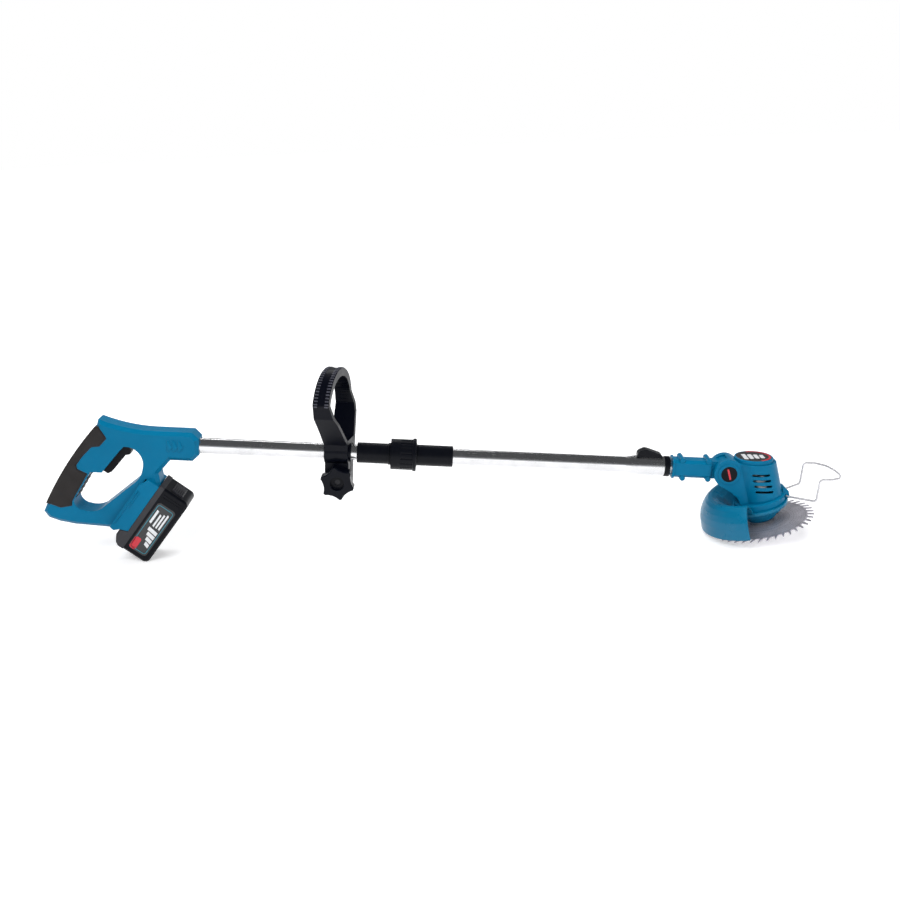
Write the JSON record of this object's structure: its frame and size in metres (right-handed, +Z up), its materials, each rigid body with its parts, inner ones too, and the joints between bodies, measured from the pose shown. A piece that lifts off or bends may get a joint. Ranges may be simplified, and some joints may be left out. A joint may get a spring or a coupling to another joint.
{
  "type": "brush cutter",
  "caption": "Battery pole brush cutter with a D handle, slide-on pack, loop handle, split telescopic pole and a tilting motor head with a guarded saw blade.",
  "frame": {"origin": "centre of the footprint, on the ground that the pack's corner and the rearmost blade tooth stand on", "axes": "+X along the tool from the rear handle to the blade, +Y away from the near side, +Z up"},
  "size_m": [1.1228, 0.1534, 0.2653],
  "materials": {
    "teal_plastic": "satin",
    "black_rubber": "matte",
    "charcoal_plastic": "satin",
    "blue_black_plastic": "satin",
    "print": "gloss",
    "chrome_tube": "polished",
    "zinc_steel": "zinc",
    "black_steel": "blackened",
    "blade_steel": "brushed",
    "brass": "plain",
    "board_green": "satin",
    "cell_green": "gloss",
    "nylon": "matte"
  },
  "bodies": {
    "handle": {"housing_near": "teal_plastic", "housing_far": "teal_plastic", "housing_screws": "black_steel", "rubber_grip": "black_rubber", "trigger_pin": "zinc_steel", "trigger_spring": "zinc_steel", "trigger_switch": "charcoal_plastic", "terminal_block": "charcoal_plastic", "terminal_blades": "brass", "switch_lead": "black_rubber", "upper_pole": "chrome_tube", "pole_lead": "black_rubber", "coupling_plug": "charcoal_plastic", "coupling_sleeve": "charcoal_plastic", "coupling_ring": "charcoal_plastic"},
    "trigger": {"trigger": "charcoal_plastic"},
    "battery": {"battery_case": "charcoal_plastic", "battery_lid": "charcoal_plastic", "battery_cells": "cell_green", "battery_board": "board_green", "battery_label": "print", "release_spring": "zinc_steel"},
    "release": {"battery_release": "charcoal_plastic"},
    "clamp": {"clamp_bush": "blue_black_plastic"},
    "loop_handle": {"front_handle": "blue_black_plastic", "clamp_bolt": "black_steel"},
    "knob": {"handle_knob": "blue_black_plastic"},
    "nut": {"coupling_nut": "charcoal_plastic"},
    "lower_tube": {"lower_sleeve": "charcoal_plastic", "lower_pole": "chrome_tube", "coupling_socket": "charcoal_plastic", "lock_ring": "charcoal_plastic", "lock_spring": "zinc_steel", "coiled_lead": "black_rubber"},
    "lock": {"lock_button": "charcoal_plastic"},
    "inner_tube": {"inner_pole": "chrome_tube", "inner_bush": "nylon", "neck_near": "teal_plastic", "neck_far": "teal_plastic", "neck_screws": "black_steel"},
    "head": {"head_near": "teal_plastic", "head_far": "teal_plastic", "head_cap": "teal_plastic", "head_badge": "print", "head_screws": "black_steel", "pivot_bolt": "zinc_steel", "pivot_caps": "charcoal_plastic", "motor_can": "zinc_steel", "collar": "teal_plastic", "guard": "teal_plastic", "hub_cone": "teal_plastic", "spindle_bearings": "zinc_steel"},
    "motor": {"motor_shaft": "zinc_steel"},
    "blade": {"spindle": "zinc_steel", "ring_gear": "zinc_steel", "blade_flanges": "zinc_steel", "saw_blade": "blade_steel", "blade_nut": "zinc_steel"},
    "plant_guard": {"wire_guard": "chrome_tube"}
  },
  "joints": [
    {"name": "trigger_pull", "type": "hinge", "parent": "handle", "child": "trigger", "pos_m": [-0.4399, 0, 0.17544], "axis": [0, 1, 0], "range_deg": [0, 6], "stiffness_Nm_per_rad": 1.2, "springref_deg": -8.59},
    {"name": "battery_slide", "type": "slide", "parent": "handle", "child": "battery", "axis": [-0.6304, 0, -0.7763], "range_m": [0, 0.065]},
    {"name": "release_press", "type": "slide", "parent": "battery", "child": "release", "axis": [-0.6304, 0, -0.7763], "range_m": [0, 0.002], "stiffness_N_per_m": 900, "springref_m": -0.002},
    {"name": "clamp_slide", "type": "slide", "parent": "handle", "child": "clamp", "axis": [0.9961, 0, -0.0885], "range_m": [-0.15, 0.005]},
    {"name": "loop_turn", "type": "hinge", "parent": "clamp", "child": "loop_handle", "pos_m": [-0.14043, 0, 0.14482], "axis": [0.9961, 0, -0.0885], "range_deg": [-90, 90]},
    {"name": "knob_turn", "type": "hinge", "parent": "loop_handle", "child": "knob", "pos_m": [-0.1438, -0.02, 0.10697], "axis": [0, -1, 0], "range_deg": [-720, 90]},
    {"name": "nut_turn", "type": "hinge", "parent": "handle", "child": "nut", "pos_m": [-0.0458, 0, 0.13641], "axis": [0.9961, 0, -0.0885], "range_deg": [0, 1080]},
    {"name": "pole_split", "type": "slide", "parent": "handle", "child": "lower_tube", "axis": [0.9961, 0, -0.0885], "range_m": [0, 0.06]},
    {"name": "lock_press", "type": "slide", "parent": "lower_tube", "child": "lock", "axis": [-0.0885, 0, -0.9961], "range_m": [0, 0.0018], "stiffness_N_per_m": 900, "springref_m": -0.002},
    {"name": "tube_slide", "type": "slide", "parent": "lower_tube", "child": "inner_tube", "axis": [0.9961, 0, -0.0885], "range_m": [0, 0.22]},
    {"name": "head_tilt", "type": "hinge", "parent": "inner_tube", "child": "head", "pos_m": [0.40126, 0, 0.09467], "axis": [0, 1, 0], "range_deg": [-18, 35]},
    {"name": "motor_spin", "type": "hinge", "parent": "head", "child": "motor", "pos_m": [0.44847, 0, 0.07726], "axis": [-0.2236, 0, 0.9747], "continuous": true},
    {"name": "blade_spin", "type": "hinge", "parent": "head", "child": "blade", "pos_m": [0.45409, 0, 0.01699], "axis": [-0.2236, 0, 0.9747], "continuous": true},
    {"name": "plant_guard_fold", "type": "hinge", "parent": "head", "child": "plant_guard", "pos_m": [0.48494, 0, 0.0569], "axis": [0, -1, 0], "range_deg": [0, 60]}
  ],
  "couplings": [
    {"joint": "motor_spin", "follows": "blade_spin", "ratio": 2}
  ]
}
